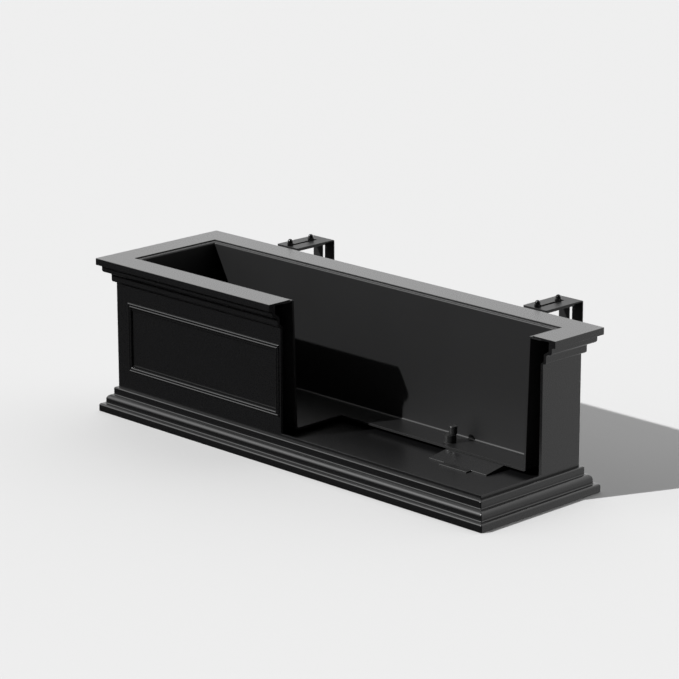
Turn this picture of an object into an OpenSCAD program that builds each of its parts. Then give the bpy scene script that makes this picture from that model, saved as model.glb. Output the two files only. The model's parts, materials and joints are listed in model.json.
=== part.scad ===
// Railing planter: a double-wall trough with moulded crown and plinth, hung on two
// adjustable saddle brackets, shown with its front right quarter cut away.
// X runs along the railing, +Y points to the railing, +Z is up. The origin is the
// middle of the footprint, on the surface that the planter stands on. Millimetres.

/* [Planter] */
// Length over the crown
rim_length = 914.4; // [760:0.1:1200]
// Depth over the crown
rim_depth = 284.5; // [256:0.1:360]
// Height from plinth to rim
planter_height = 276.6; // [240:0.1:340]
// How far crown and plinth stand out from the wall
moulding_overhang = 25.2; // [24:0.1:34]
// Thickness of the outer skin
shell_skin = 5; // [3:0.5:6]
// Thickness of the rim's top skin
rim_skin = 4; // [3.5:0.1:6]
// Height of the outer floor's upper face
floor_height = 40; // [36:0.5:42]

/* [Cutaway] */
// Cut the front right quarter open
cutaway = true; // [true, false]
// Place of the cut across the front wall
cut_left = -19.5; // [-300:0.5:200]
// Place of the cut across the end wall
cut_rear = 24.3; // [-40:0.1:60]
// Height of the shell's cut above the ground
cut_height = 49.8; // [44.1:0.1:60]

/* [Liner] */
// Width of the flat rim outside the liner's seam
rim_width = 48; // [44:0.5:60]
// Thickness of the liner's skin
liner_skin = 4; // [3:0.5:5]
// How much each liner wall leans in from rim to floor
liner_draft = 6.5; // [3:0.5:12]
// Width of the flat lip along the seam
lip_width = 4.5; // [3:0.5:8]
// Radius of the lip's inner edge
lip_radius = 3; // [2:0.5:4]
// Height of the liner floor's upper face
liner_floor_height = 52; // [50.5:0.5:70]
// How far the liner's lip lies below the rim
lip_drop = 2; // [1:0.1:2.4]
// How far the liner's flange reaches under the rim
flange_lap = 18; // [10:0.5:22]
// Thickness of the liner's flange
flange_thickness = 2.5; // [2:0.1:3]
// Radius where the liner's walls meet its floor
liner_fillet = 4; // [2:0.5:8]

/* [Floor pads] */
// Length of each pad that carries the liner
pad_length = 127; // [80:1:180]
// Distance from the middle of the planter to the middle of a pad
pad_offset = 288.5; // [200:0.5:300]
// Distance from the middle of the planter back to the end of a pad's slope
pad_rear = 24.3; // [0:0.1:26]
// Depth of the sloping front of a pad
pad_ramp = 41.7; // [20:0.1:60]
// Depth of the level seat behind the slope
pad_seat = 8; // [3:0.5:10]
// Height of the pad's front edge over the floor
pad_front_rise = 2; // [1:0.1:4]
// Length of the tongue in front of a pad
tongue_length = 61; // [30:1:80]
// Reach of the tongue in front of a pad
tongue_reach = 12; // [6:0.5:20]

/* [Front panel] */
// Level margin between the moulding's upper or lower edge and the sunk field
field_margin = 12.6; // [9.2:0.1:20]
// How far the field inside the moulding is sunk
field_depth = 2; // [0.5:0.1:3]
// Width of the plain post between the two panels
panel_post = 45; // [20:1:90]
// Diameter of each bead of the moulding
bead_width = 4.5; // [3:0.1:4.5]
// How far the beads stand out
bead_rise = 2.2; // [1:0.1:3]
// Plain wall left at each end of the panel
frame_end_margin = 29.6; // [12:0.1:80]
// Height of the panel's lower edge
frame_bottom = 78; // [60:1:100]
// Height of the panel, moulding included
frame_height = 125; // [80:1:140]

/* [Brackets] */
// Distance between the middles of the two brackets
bracket_spacing = 584; // [450:1:620]
// Width of each bracket
bracket_width = 51; // [36:1:60]
// Thickness of the steel plate
plate = 2.5; // [2:0.1:3]
// How far the saddle's top lies below the rim
saddle_drop = 3.2; // [1:0.1:8]
// Gap between the crown and the bracket's riser
riser_gap = 18; // [10:0.1:40]
// Depth of the hook's top plate
hook_reach = 91.7; // [86:0.1:100]
// Height of the hook's rear leg
hook_drop = 76; // [50:1:85]
// Depth of the arm's top plate
arm_reach = 69; // [66:0.1:70]
// Radius outside each bend
bend_radius = 3; // [3:0.1:4]
// Gap between the sliding plates
slide_gap = 0.1; // [0.05:0.01:0.2]
// How far the hook slides in to grip a thinner rail
slide_travel = 10; // [4:0.5:12]
// Height of the shelf below the crown
shelf_drop = 7.5; // [4:0.1:20]
// Height of the plate that is screwed to the wall
wall_leg = 93; // [80:1:130]
// Depth of each gusset under the shelf
gusset_drop = 40; // [20:1:60]

/* [Bracket slots] */
// Width of the slots
slot_width = 6.6; // [6.4:0.1:7]
// Solid plate left above the rear slot
rear_slot_top = 11.4; // [8:0.1:16]
// Solid plate left below the rear slot
rear_slot_bottom = 9; // [6:0.5:20]

/* [Bracket fasteners] */
// Diameter of studs and screws
thread = 6; // [5:0.5:6]
// Distance from the riser's front to the first stud
stud_inset = 7.3; // [5.2:0.1:8]
// Distance between the two studs
stud_pitch = 50.5; // [40:0.5:52]
// Thickness of the stud's flush head
stud_head = 1.4; // [1:0.1:1.6]
// Diameter of the stud's flush head
stud_head_width = 8.6; // [8:0.1:10]
// Width of the cap nut across its flats
nut_flats = 10; // [9:0.5:11]
// Height of the cap nut's hexagon
nut_hex_height = 5; // [4:0.5:6]
// Height of the whole cap nut
nut_height = 12; // [11:0.5:14]
// Screw spacing across the bracket
screw_pitch_x = 26; // [20:1:28]
// Screw spacing up the wall
screw_pitch_z = 52; // [40:1:60]
// Diameter of the screw heads
screw_head_width = 11; // [10:0.5:12]
// Height of the screw heads
screw_head = 3.6; // [3:0.1:4.5]
// Length of each threaded insert
insert_length = 12; // [9:0.5:14]
// Diameter of each threaded insert
insert_width = 10; // [9:0.5:11]
// Diameter of the insert's flange
insert_flange_width = 16; // [14:0.5:18]
// Thickness of the insert's flange
insert_flange = 2; // [1.5:0.1:3]

/* [Standpipe] */
// Distance of the standpipe right of the middle
pipe_x = 217; // [120:0.1:260]
// Distance of the standpipe behind the middle
pipe_y = 48.3; // [46:0.1:56]
// Outer diameter of the pipe
pipe_width = 8; // [7:0.5:9]
// Thickness of the pipe's wall
pipe_wall = 1.5; // [1:0.1:2]
// How far the pipe stands above the liner's floor
pipe_rise = 25; // [22:0.5:27]
// Diameter of the collar under the floor
collar_width = 20; // [16:0.5:22]
// Thickness of the collar under the floor
collar = 2.4; // [2:0.1:3]
// Thickness of the gasket
gasket = 2.4; // [1.5:0.1:4]
// Diameter of the clamping drum and of its gasket
drum_width = 22; // [21:0.5:26]
// Height of the clamping drum
drum_height = 11; // [8:0.5:12]
// How far the drum's middle lies off the pipe's middle, towards the front and the left
drum_offset = 3.7; // [0:0.1:3.8]
// Diameter of the pipe's cap
cap_width = 14; // [13:0.1:18]
// Gap between the clamping drum and the pipe's cap
cap_gap = 1; // [0.5:0.1:4]

/* [Hidden] */
$fn = 48;

// Radial clearance of each bore over the thread, pipe or insert in it
fit = 0.05;
// Overshoot of a cutting shape past the face that it cuts
over = 1;
// Steps in each rounded edge of a moulding
round_steps = 5;

// Gap between the shell's rim and the liner's lip
seam = 1;
// Distance from the crown to the wall's inner face below the liner's lip
liner_inset = rim_width + seam + lip_width + lip_radius - liner_skin;
// The pipe keeps clear of the rounding at the foot of the liner's back wall
pipe_back = min(pipe_y, rim_depth / 2 - liner_inset - liner_draft - liner_skin - liner_fillet
                        - drum_width / 2 - 1);
// Half sizes of the wall's outer face
wall_x = rim_length / 2 - moulding_overhang;
wall_y = rim_depth / 2 - moulding_overhang;
// Levels that the pieces share
rim_underside = planter_height - rim_skin;
flange_top = planter_height - lip_drop - 0.5;
liner_underside = liner_floor_height - liner_skin;
saddle_top = planter_height - saddle_drop;
arm_top = saddle_top - plate - slide_gap;
riser_y = rim_depth / 2 + riser_gap;
crown_height = 43.5;
crown_foot = planter_height - crown_height;
shelf_top = crown_foot - shelf_drop;
leg_bottom = shelf_top - wall_leg;
stud_ys = [riser_y + stud_inset, riser_y + stud_inset + stud_pitch];
screw_mid_z = leg_bottom + (wall_leg - 2 * plate) / 2;

// Points along an arc, from the first angle to the last
function arc(x, y, r, from, to, steps = round_steps) =
    [for (i = [0:steps]) let (a = from + (to - from) * i / steps) [x + r * cos(a), y + r * sin(a)]];

// A closed outline from one side's points, each given as offset and height
function both_sides(side, half) = concat(
    [for (p = side) [half + p[0], p[1]]],
    [for (i = [len(side) - 1:-1:0]) [-half - side[i][0], side[i][1]]]);

// Plinth of the outer face, from the ground up: three steps with rounded tops
step_2 = moulding_overhang - 8.9;
step_3 = moulding_overhang - 19;
plinth_side = concat(
    [[moulding_overhang, 0]],
    arc(moulding_overhang - 3.5, 10.5, 3.5, 0, 90),
    arc(step_2 + 2, 16, 2, 270, 180),
    arc(step_2 - 8.3, 21.8, 8.3, 0, 90),
    arc(step_3 + 1.7, 31.8, 1.7, 270, 180),
    arc(step_3 - 2.5, 41.4, 2.5, 0, 90),
    [[0, 43.9]]);

// Crown of the outer face, from its foot up, with heights counted down from the rim
crown_drops = concat(
    arc(1.5, -crown_height, 1.5, 180, 90),
    arc(step_3 - 3.5, 5 - crown_height, 3.5, 270, 360),
    arc(step_3 + 5.6, -30.5, 5.6, 180, 90),
    arc(step_2 - 2.8, -20.6, 4.3, 270, 360),
    [[step_2 + 1.5, -13.2]],
    arc(moulding_overhang - 0.5, -11.3, 0.5, 270, 360, 2),
    arc(moulding_overhang - 0.5, -0.5, 0.5, 0, 90, 2));
crown_side = [for (p = crown_drops) [p[0], planter_height + p[1]]];
shell_side = concat(plinth_side, crown_side);

// Hollow behind the outer face, one skin inside it
hollow_side = [
    [-shell_skin, floor_height],
    [-shell_skin, crown_foot + 1],
    [step_3 - shell_skin, crown_foot + shell_skin],
    [step_3 - shell_skin, planter_height - 26],
    [step_2 - shell_skin, planter_height - 19],
    [step_2 - shell_skin, rim_underside]];

// Closed hollow inside the plinth, under the outer floor
plinth_hollow_side = [
    [moulding_overhang - shell_skin, shell_skin],
    [moulding_overhang - shell_skin, 8],
    [step_2 - shell_skin, 13],
    [step_2 - shell_skin, 20],
    [step_3 - shell_skin, 28],
    [step_3 - shell_skin, floor_height - shell_skin]];

// A block with one moulded side all round, mitred at its four corners
module moulded_block(side, half_x, half_y) {
    reach = rim_length + rim_depth;
    intersection() {
        rotate([90, 0, 0])
            linear_extrude(reach, center = true) polygon(both_sides(side, half_x));
        rotate([90, 0, 90])
            linear_extrude(reach, center = true) polygon(both_sides(side, half_y));
    }
}

// An upright block centred on the origin, from one height to another
module level_block(half_x, half_y, low, high) {
    translate([-half_x, -half_y, low]) cube([2 * half_x, 2 * half_y, high - low]);
}

// The quarter that the cutaway removes above one height
module cut_quarter(low) {
    if (cutaway)
        translate([cut_left, -rim_depth, low])
            cube([rim_length, rim_depth + cut_rear, planter_height]);
}

// One straight length of the panel moulding, mitred at both ends: two beads side by side
module frame_length(length) {
    frame_width = 2 * bead_width;
    bead_side = concat(
        arc(bead_width / 2, 0, bead_width / 2, 180, 0, 8),
        arc(bead_width * 1.5, 0, bead_width / 2, 180, 0, 8));
    scaled_side = [for (p = bead_side) [p[0], p[1] * bead_rise / (bead_width / 2)]];
    intersection() {
        translate([-length / 2, 0, 0])
            rotate([90, 0, 90])
                linear_extrude(length)
                    polygon(concat([[0, -over]], scaled_side, [[frame_width, -over]]));
        translate([0, 0, -2 * over])
            linear_extrude(bead_rise + 4 * over)
                polygon([[-length / 2, 0], [length / 2, 0],
                         [length / 2 - frame_width - over, frame_width + over],
                         [-length / 2 + frame_width + over, frame_width + over]]);
    }
}

// Width of each of the two panels, moulding included
panel_width = wall_x - frame_end_margin - panel_post / 2;

// Moves its children to the middle of each panel on the front wall, facing out
module at_panels() {
    for (side = [-1, 1])
        translate([side * (panel_post + panel_width) / 2, -wall_y, frame_bottom + frame_height / 2])
            rotate([90, 0, 0]) children();
}

// The raised picture frame of one panel
module front_frame() {
    for (turn = [0, 180]) {
        rotate([0, 0, turn]) translate([0, -frame_height / 2, 0]) frame_length(panel_width);
        rotate([0, 0, turn + 90]) translate([0, -panel_width / 2, 0]) frame_length(frame_height);
    }
}

// The sunk field inside one picture frame
module front_field() {
    half_x = panel_width / 2 - 2 * bead_width - 0.2;
    half_y = frame_height / 2 - field_margin;
    translate([-half_x, -half_y, -field_depth])
        cube([2 * half_x, 2 * half_y, field_depth + over]);
}

// Pad moulded up from the outer floor to carry the liner, with a sloping front
module floor_pad() {
    ramp_front = pad_rear - pad_ramp;
    front_top = floor_height + pad_front_rise;
    translate([-pad_length / 2, 0, 0])
        rotate([90, 0, 90])
            linear_extrude(pad_length)
                polygon([[ramp_front, floor_height - over], [ramp_front, front_top - 0.8],
                         [ramp_front + 0.8, front_top], [pad_rear, liner_underside],
                         [pad_rear + pad_seat, liner_underside],
                         [pad_rear + pad_seat, floor_height - over]]);
    translate([-tongue_length / 2, 0, 0])
        rotate([90, 0, 90])
            linear_extrude(tongue_length)
                polygon([[ramp_front - tongue_reach, floor_height - over],
                         [ramp_front - tongue_reach, front_top - 0.8],
                         [ramp_front - tongue_reach + 0.8, front_top],
                         [ramp_front + 3, front_top],
                         [ramp_front + 3, floor_height - over]]);
}

// Places of the four screws that hold one bracket to the back wall
module at_screws() {
    for (x = [-1, 1] * screw_pitch_x / 2)
        for (z = [-1, 1] * screw_pitch_z / 2)
            translate([x, 0, screw_mid_z + z]) rotate([-90, 0, 0]) children();
}

// Outer skin with plinth, crown, rim, outer floor and front panel
module outer_shell() {
    color([0.05, 0.05, 0.05])
    difference() {
        union() {
            difference() {
                moulded_block(shell_side, wall_x, wall_y);
                moulded_block(hollow_side, wall_x, wall_y);
                moulded_block(plinth_hollow_side, wall_x, wall_y);
                level_block(rim_length / 2 - rim_width, rim_depth / 2 - rim_width,
                            rim_underside - over, planter_height + over);
                level_block(rim_length / 2 - rim_width + flange_lap + fit,
                            rim_depth / 2 - rim_width + flange_lap + fit,
                            rim_underside - over, flange_top);
            }
            at_panels() front_frame();
            for (x = [-1, 1] * pad_offset)
                translate([x, 0, 0]) floor_pad();
        }
        at_panels() front_field();
        for (x = [-1, 1] * bracket_spacing / 2)
            translate([x, wall_y - shell_skin - over, 0])
                at_screws() cylinder(h = shell_skin + 2 * over, d = insert_width + 2 * fit);
        cut_quarter(cut_height);
    }
}

// Planting trough: drafted walls, filleted floor, flat lip and a flange under the rim
module inner_liner() {
    inset = rim_width + seam;
    lip_top = planter_height - lip_drop;
    outer_side = concat(
        arc(-liner_inset - liner_draft - 5, liner_underside + 5, 5, 270, 360),
        [[-liner_inset, flange_top - flange_thickness], [-inset, flange_top - flange_thickness],
         [-inset, lip_top]]);
    inner_side = concat(
        arc(-liner_inset - liner_skin - liner_draft - liner_fillet, liner_floor_height + liner_fillet,
            liner_fillet, 270, 360),
        arc(-inset - lip_width, lip_top - lip_radius, lip_radius, 180, 90),
        [[-inset - lip_width, lip_top + over]]);
    color([0.07, 0.07, 0.07])
    difference() {
        union() {
            moulded_block(outer_side, rim_length / 2, rim_depth / 2);
            level_block(rim_length / 2 - rim_width + flange_lap, rim_depth / 2 - rim_width + flange_lap,
                        flange_top - flange_thickness, flange_top);
        }
        moulded_block(inner_side, rim_length / 2, rim_depth / 2);
        translate([pipe_x, pipe_back, liner_underside - over])
            cylinder(h = liner_skin + 2 * over, d = pipe_width + 2 * fit);
        cut_quarter(floor_height);
    }
}

// Moves its children to the standpipe, at the height of the liner's floor
module at_pipe() {
    translate([pipe_x, pipe_back, liner_floor_height]) children();
}

// Overflow pipe with the collar that bears on the floor from below
module standpipe() {
    low = -liner_skin - collar - 1.5;
    color([0.1, 0.1, 0.1])
    at_pipe()
        difference() {
            union() {
                translate([0, 0, low]) cylinder(h = pipe_rise - low, d = pipe_width);
                translate([0, 0, -liner_skin - collar]) cylinder(h = collar, d = collar_width);
            }
            translate([0, 0, low - over])
                cylinder(h = pipe_rise - low + 2 * over, d = pipe_width - 2 * pipe_wall);
        }
}

// Flat rubber disc between the floor and the drum
module standpipe_gasket() {
    color([0.04, 0.04, 0.04])
    at_pipe()
        difference() {
            translate([-drum_offset, -drum_offset, 0]) cylinder(h = gasket, d = drum_width - 1);
            translate([0, 0, -over]) cylinder(h = gasket + 2 * over, d = pipe_width + 2 * fit);
        }
}

// Smooth drum that clamps the pipe to the floor
module standpipe_nut() {
    edge = 0.6;
    color([0.12, 0.12, 0.12])
    at_pipe()
        translate([0, 0, gasket])
            difference() {
                translate([-drum_offset, -drum_offset, 0])
                    rotate_extrude()
                        polygon([[0, 0], [drum_width / 2 - edge, 0], [drum_width / 2, edge],
                                 [drum_width / 2, drum_height - edge],
                                 [drum_width / 2 - edge, drum_height], [0, drum_height]]);
                translate([0, 0, -over])
                    cylinder(h = drum_height + 2 * over, d = pipe_width + 2 * fit);
            }
}

// Screwed cap on the pipe's top
module standpipe_cap() {
    roof = 3;
    cap_low = gasket + drum_height + cap_gap;
    cap_height = pipe_rise + roof + fit - cap_low;
    color([0.1, 0.1, 0.1])
    at_pipe()
        translate([0, 0, cap_low])
            difference() {
                union() {
                    cylinder(h = cap_height - 1.2, d = cap_width);
                    cylinder(h = cap_height, d = cap_width - 2.4);
                }
                translate([0, 0, -over])
                    cylinder(h = cap_height - roof + over, d = pipe_width + 2 * fit);
            }
}

// A slot cut through a plate, between the middles of its two round ends
module slot(length, depth) {
    translate([-slot_width / 2, 0, 0]) cube([slot_width, length, depth]);
    for (y = [0, length]) translate([0, y, 0]) cylinder(h = depth, d = slot_width);
}

// Fixed half of a bracket: wall plate, shelf under the crown, riser and saddle
module bracket_arm() {
    inner_bend = bend_radius - plate;
    wall_face = wall_y + plate;
    riser_face = riser_y + plate;
    strip = concat(
        [[wall_y, leg_bottom], [wall_face, leg_bottom]],
        [[wall_face, shelf_top - plate - inner_bend], [wall_face + inner_bend, shelf_top - plate]],
        arc(riser_face - bend_radius, shelf_top - plate + bend_radius, bend_radius, 270, 360),
        [[riser_face, arm_top - plate - inner_bend], [riser_face + inner_bend, arm_top - plate]],
        [[riser_y + arm_reach, arm_top - plate], [riser_y + arm_reach, arm_top]],
        arc(riser_y + bend_radius, arm_top - bend_radius, bend_radius, 90, 180),
        [[riser_y, shelf_top + inner_bend], [riser_y - inner_bend, shelf_top]],
        arc(wall_y + bend_radius, shelf_top - bend_radius, bend_radius, 90, 180));
    color([0.16, 0.16, 0.17])
    difference() {
        union() {
            translate([-bracket_width / 2, 0, 0])
                rotate([90, 0, 90]) linear_extrude(bracket_width) polygon(strip);
            for (x = [-bracket_width / 2, bracket_width / 2 - plate])
                translate([x, 0, 0])
                    rotate([90, 0, 90])
                        linear_extrude(plate)
                            polygon([[wall_y + plate / 2, shelf_top - plate / 2],
                                     [wall_y + plate / 2, shelf_top - plate - gusset_drop],
                                     [wall_face + 4, shelf_top - plate - gusset_drop],
                                     [riser_face - bend_radius, shelf_top - plate - 4],
                                     [riser_face - bend_radius, shelf_top - plate / 2]]);
        }
        for (y = stud_ys)
            translate([0, y, arm_top - plate]) {
                translate([0, 0, -over]) cylinder(h = plate + 2 * over, d = thread + 2 * fit);
                translate([0, 0, -over]) cylinder(h = stud_head + over, d = stud_head_width + 2 * fit);
            }
        translate([0, wall_y - over, 0])
            at_screws() cylinder(h = plate + 2 * over, d = thread + 0.6);
    }
}

// Two flush-headed studs pressed into the arm from below
module arm_studs() {
    color([0.2, 0.2, 0.21])
    for (y = stud_ys)
        translate([0, y, arm_top - plate]) {
            cylinder(h = stud_head, d = stud_head_width);
            cylinder(h = 2 * plate + slide_gap + nut_height - 4, d = thread);
        }
}

// Two domed nuts that clamp the hook on the arm
module cap_nuts() {
    dome = nut_flats * 0.46;
    neck = nut_height - nut_hex_height - dome;
    color([0.1, 0.1, 0.1])
    for (y = stud_ys)
        translate([0, y, saddle_top + slide_gap / 2])
            difference() {
                union() {
                    intersection() {
                        cylinder(h = nut_hex_height, d = nut_flats / cos(30), $fn = 6);
                        rotate_extrude()
                            polygon([[0, 0], [nut_flats / 2, 0], [nut_flats / 2 + 0.8, 0.6],
                                     [nut_flats / 2 + 0.8, nut_hex_height - 0.6],
                                     [nut_flats / 2, nut_hex_height], [0, nut_hex_height]]);
                    }
                    translate([0, 0, nut_hex_height - 0.1])
                        rotate_extrude()
                            polygon(concat([[0, 0], [dome, 0]],
                                           arc(0, neck + 0.1, dome, 0, 90, 8)));
                }
                translate([0, 0, -over])
                    cylinder(h = nut_height - 3.5 + over, d = thread + 2 * fit);
            }
}

// Sliding half of a bracket: slotted top plate and slotted rear leg
module bracket_hook() {
    leg_face = riser_y + hook_reach;
    top_low = saddle_top - plate;
    inner_bend = bend_radius - plate;
    drop_z = saddle_top - hook_drop;
    corner = 4;
    slot_length = stud_pitch + slide_travel + 0.2;
    rear_slot = hook_drop - rear_slot_top - rear_slot_bottom - slot_width;
    color([0.16, 0.16, 0.17])
    difference() {
        translate([-bracket_width / 2, 0, 0])
            rotate([90, 0, 90])
                linear_extrude(bracket_width)
                    polygon(concat(
                        [[riser_y, top_low], [leg_face - plate - inner_bend, top_low],
                         [leg_face - plate, top_low - inner_bend],
                         [leg_face - plate, drop_z], [leg_face, drop_z]],
                        arc(leg_face - bend_radius, saddle_top - bend_radius, bend_radius, 0, 90),
                        [[riser_y, saddle_top]]));
        translate([0, stud_ys[0], top_low - over]) slot(slot_length, plate + 2 * over);
        translate([0, leg_face + over, drop_z + rear_slot_bottom + slot_width / 2])
            rotate([90, 0, 0]) slot(rear_slot, plate + 2 * over);
        for (side = [-1, 1])
            translate([side * bracket_width / 2, leg_face + over, drop_z])
                rotate([90, 0, 0])
                    linear_extrude(plate + 2 * over)
                        polygon([[side * over, -over], [side * over, corner],
                                 [0, corner], [-side * corner, 0], [-side * corner, -over]]);
    }
}

// Four pan-headed screws that hold the wall plate
module wall_screws() {
    color([0.2, 0.2, 0.21])
    translate([0, wall_y + plate, 0])
        at_screws() {
            rotate_extrude()
                polygon(concat([[0, 0], [screw_head_width / 2, 0]],
                               arc(screw_head_width / 2 - 1.6, screw_head - 1.6, 1.6, 0, 90, 3),
                               [[2.4, screw_head], [1.2, screw_head - 1.8], [0, screw_head - 1.8]]));
            translate([0, 0, -plate - insert_length + 1])
                cylinder(h = plate + insert_length - 0.5, d = thread - 2 * fit);
        }
}

// Four threaded inserts moulded into the back skin
module wall_inserts() {
    color([0.45, 0.42, 0.35])
    translate([0, wall_y - insert_length, 0])
        at_screws()
            difference() {
                union() {
                    cylinder(h = insert_length, d = insert_width);
                    translate([0, 0, insert_length - shell_skin - insert_flange])
                        cylinder(h = insert_flange, d = insert_flange_width);
                }
                translate([0, 0, -over]) cylinder(h = insert_length + 2 * over, d = thread);
            }
}

// Places its children on the left or right bracket
module on_side(side) {
    translate([side * bracket_spacing / 2, 0, 0]) children();
}

outer_shell();
inner_liner();
standpipe();
standpipe_gasket();
standpipe_nut();
standpipe_cap();
on_side(-1) bracket_arm();  // left_bracket_arm
on_side(-1) arm_studs();  // left_arm_studs
on_side(-1) cap_nuts();  // left_cap_nuts
on_side(-1) bracket_hook();  // left_bracket_hook
on_side(-1) wall_screws();  // left_wall_screws
on_side(-1) wall_inserts();  // left_wall_inserts
on_side(1) bracket_arm();  // right_bracket_arm
on_side(1) arm_studs();  // right_arm_studs
on_side(1) cap_nuts();  // right_cap_nuts
on_side(1) bracket_hook();  // right_bracket_hook
on_side(1) wall_screws();  // right_wall_screws
on_side(1) wall_inserts();  // right_wall_inserts
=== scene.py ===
"""Looks of the railing planter: a black double-wall trough with its right front quarter cut open.

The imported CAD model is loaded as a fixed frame. New meshes for the moulded trough, its liner, the
standpipe's drum and cap, and the steel saddle brackets stand for their CAD nodes, each with crisp
rolled edges that catch the light. Sizes below are in millimetres, in the part's own frame: X along
the railing, +Y towards it, +Z up. The meshes are in metres.
"""

import json
import logging
import math
from dataclasses import dataclass
from enum import Enum
from typing import Callable, Sequence

import bpy
from mathutils import Matrix, Vector


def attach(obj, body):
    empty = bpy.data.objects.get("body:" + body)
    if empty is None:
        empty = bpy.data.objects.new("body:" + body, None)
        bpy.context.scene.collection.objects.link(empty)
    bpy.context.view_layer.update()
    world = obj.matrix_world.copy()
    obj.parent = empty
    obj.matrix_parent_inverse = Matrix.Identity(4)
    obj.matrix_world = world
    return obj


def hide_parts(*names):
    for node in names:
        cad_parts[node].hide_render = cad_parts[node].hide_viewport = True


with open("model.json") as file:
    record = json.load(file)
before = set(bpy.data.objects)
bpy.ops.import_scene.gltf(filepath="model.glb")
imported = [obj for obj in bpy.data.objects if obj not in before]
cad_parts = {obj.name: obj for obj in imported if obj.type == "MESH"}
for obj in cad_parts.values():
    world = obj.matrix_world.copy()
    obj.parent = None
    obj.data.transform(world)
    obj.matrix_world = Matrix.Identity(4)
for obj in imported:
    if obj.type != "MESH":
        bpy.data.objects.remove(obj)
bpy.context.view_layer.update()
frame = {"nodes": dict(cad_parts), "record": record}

log = logging.getLogger("railing_planter")

MM = 0.001
# Two points closer than this are the same place.
NEAR = 0.01
# Faces that meet at less than this many degrees are shaded as one surface.
SMOOTH_BELOW = 34

RIM_LENGTH = 914.4
RIM_DEPTH = 284.5
HEIGHT = 276.6
# How far the rim and the plinth's foot stand out from the wall, then the two smaller steps.
OVERHANG = 25.2
STEP_2 = OVERHANG - 8.9
STEP_3 = OVERHANG - 19.0
# Depth of the crown below the rim's top.
CROWN = 43.5
WALL_X = RIM_LENGTH / 2 - OVERHANG
WALL_Y = RIM_DEPTH / 2 - OVERHANG
FLOOR_TOP = 40.0
LINER_FLOOR_TOP = 52.0
LINER_SKIN = 4.0
LINER_UNDER = LINER_FLOOR_TOP - LINER_SKIN
# Place of the pipe in the liner's floor, and radius of the holes that it goes through.
PIPE_PLACE = (217.0, 48.3)
PIPE_HOLE = 4.05
# Half the way between the brackets, height of their shelf, and length of the leg on the wall.
BRACKET_X = 292.0
SHELF_Z = HEIGHT - CROWN - 7.5
WALL_LEG = 93.0
# Height midway between the wall screws, then X from the bracket's middle and Z of each of them.
SCREW_MIDDLE = SHELF_Z - (WALL_LEG + 5.0) / 2
SCREW_PLACES = [(dx, SCREW_MIDDLE + dz) for dx in (-13.0, 13.0) for dz in (-26.0, 26.0)]
BODY = "planter"

Point = tuple[float, float]
Ring = tuple[float, float, float]
EdgeTest = Callable[[Vector, Vector], bool]


class Side(Enum):
    """The two ends of the planter that a bracket stands at."""

    LEFT = "left"
    RIGHT = "right"

    @property
    def sign(self) -> int:
        """Sign of the bracket's X."""
        return -1 if self is Side.LEFT else 1


class Axis(Enum):
    """Axes that a bar can lie along, each with the turn about X that lays an upright bar there."""

    Y = -math.pi / 2
    Z = 0.0


@dataclass(frozen=True)
class Finish:
    """One moulded, coated or turned finish.

    The tint and the gloss wander a little over the surface, and a fine grain breaks up the
    reflections, as on the real material.
    """

    title: str
    tint: tuple[float, float, float]
    gloss_roughness: float
    ior: float = 1.5
    metallic: float = 0.0
    grain_size: float = 1.6
    grain_depth: float = 0.03
    grain_strength: float = 0.6
    tint_wander: float = 0.12
    gloss_wander: float = 0.04
    cloud_scale: float = 9.0

    def build(self) -> bpy.types.Material:
        """Makes the node material.

        Returns:
            The material, ready to be put on a piece.
        """
        material = bpy.data.materials.new(self.title)
        material.use_nodes = True
        nodes, links = material.node_tree.nodes, material.node_tree.links
        shader = nodes["Principled BSDF"]
        shader.inputs["Metallic"].default_value = self.metallic
        shader.inputs["IOR"].default_value = self.ior
        place = nodes.new("ShaderNodeTexCoord").outputs["Object"]

        cloud = nodes.new("ShaderNodeTexNoise")
        cloud.inputs["Scale"].default_value = self.cloud_scale
        cloud.inputs["Detail"].default_value = 3.0
        links.new(place, cloud.inputs["Vector"])
        tones = nodes.new("ShaderNodeMix")
        tones.data_type = "RGBA"
        tones.inputs["A"].default_value = (*[c * (1 - self.tint_wander) for c in self.tint], 1)
        tones.inputs["B"].default_value = (*[c * (1 + self.tint_wander) for c in self.tint], 1)
        links.new(cloud.outputs["Fac"], tones.inputs["Factor"])
        links.new(tones.outputs["Result"], shader.inputs["Base Color"])

        grain = nodes.new("ShaderNodeTexNoise")
        grain.inputs["Scale"].default_value = 1 / (self.grain_size * MM)
        grain.inputs["Detail"].default_value = 2.0
        links.new(place, grain.inputs["Vector"])
        gloss = nodes.new("ShaderNodeMapRange")
        gloss.inputs["To Min"].default_value = self.gloss_roughness - self.gloss_wander
        gloss.inputs["To Max"].default_value = self.gloss_roughness + self.gloss_wander
        links.new(grain.outputs["Fac"], gloss.inputs["Value"])
        links.new(gloss.outputs["Result"], shader.inputs["Roughness"])
        bump = nodes.new("ShaderNodeBump")
        bump.inputs["Strength"].default_value = self.grain_strength
        bump.inputs["Distance"].default_value = self.grain_depth * MM
        links.new(grain.outputs["Fac"], bump.inputs["Height"])
        links.new(bump.outputs["Normal"], shader.inputs["Normal"])
        return material


SHELL_PLASTIC = Finish("satin_black_shell", (0.0036, 0.0036, 0.0038), 0.28, ior=1.6)
LINER_PLASTIC = Finish("satin_black_liner", (0.0088, 0.0088, 0.0090), 0.42, ior=1.4)
FITTING_NYLON = Finish("black_nylon", (0.014, 0.014, 0.014), 0.3, grain_depth=0.01)
GASKET_RUBBER = Finish("gasket_rubber", (0.012, 0.012, 0.012), 0.7)
POWDER_COAT = Finish("black_powder_coat", (0.006, 0.006, 0.0062), 0.5, grain_size=0.6)
BLACK_FASTENER = Finish("gloss_black_steel", (0.004, 0.004, 0.0041), 0.14, grain_depth=0.003)
TURNED_BRASS = Finish("turned_brass", (0.62, 0.48, 0.22), 0.3, metallic=1.0)


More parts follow.
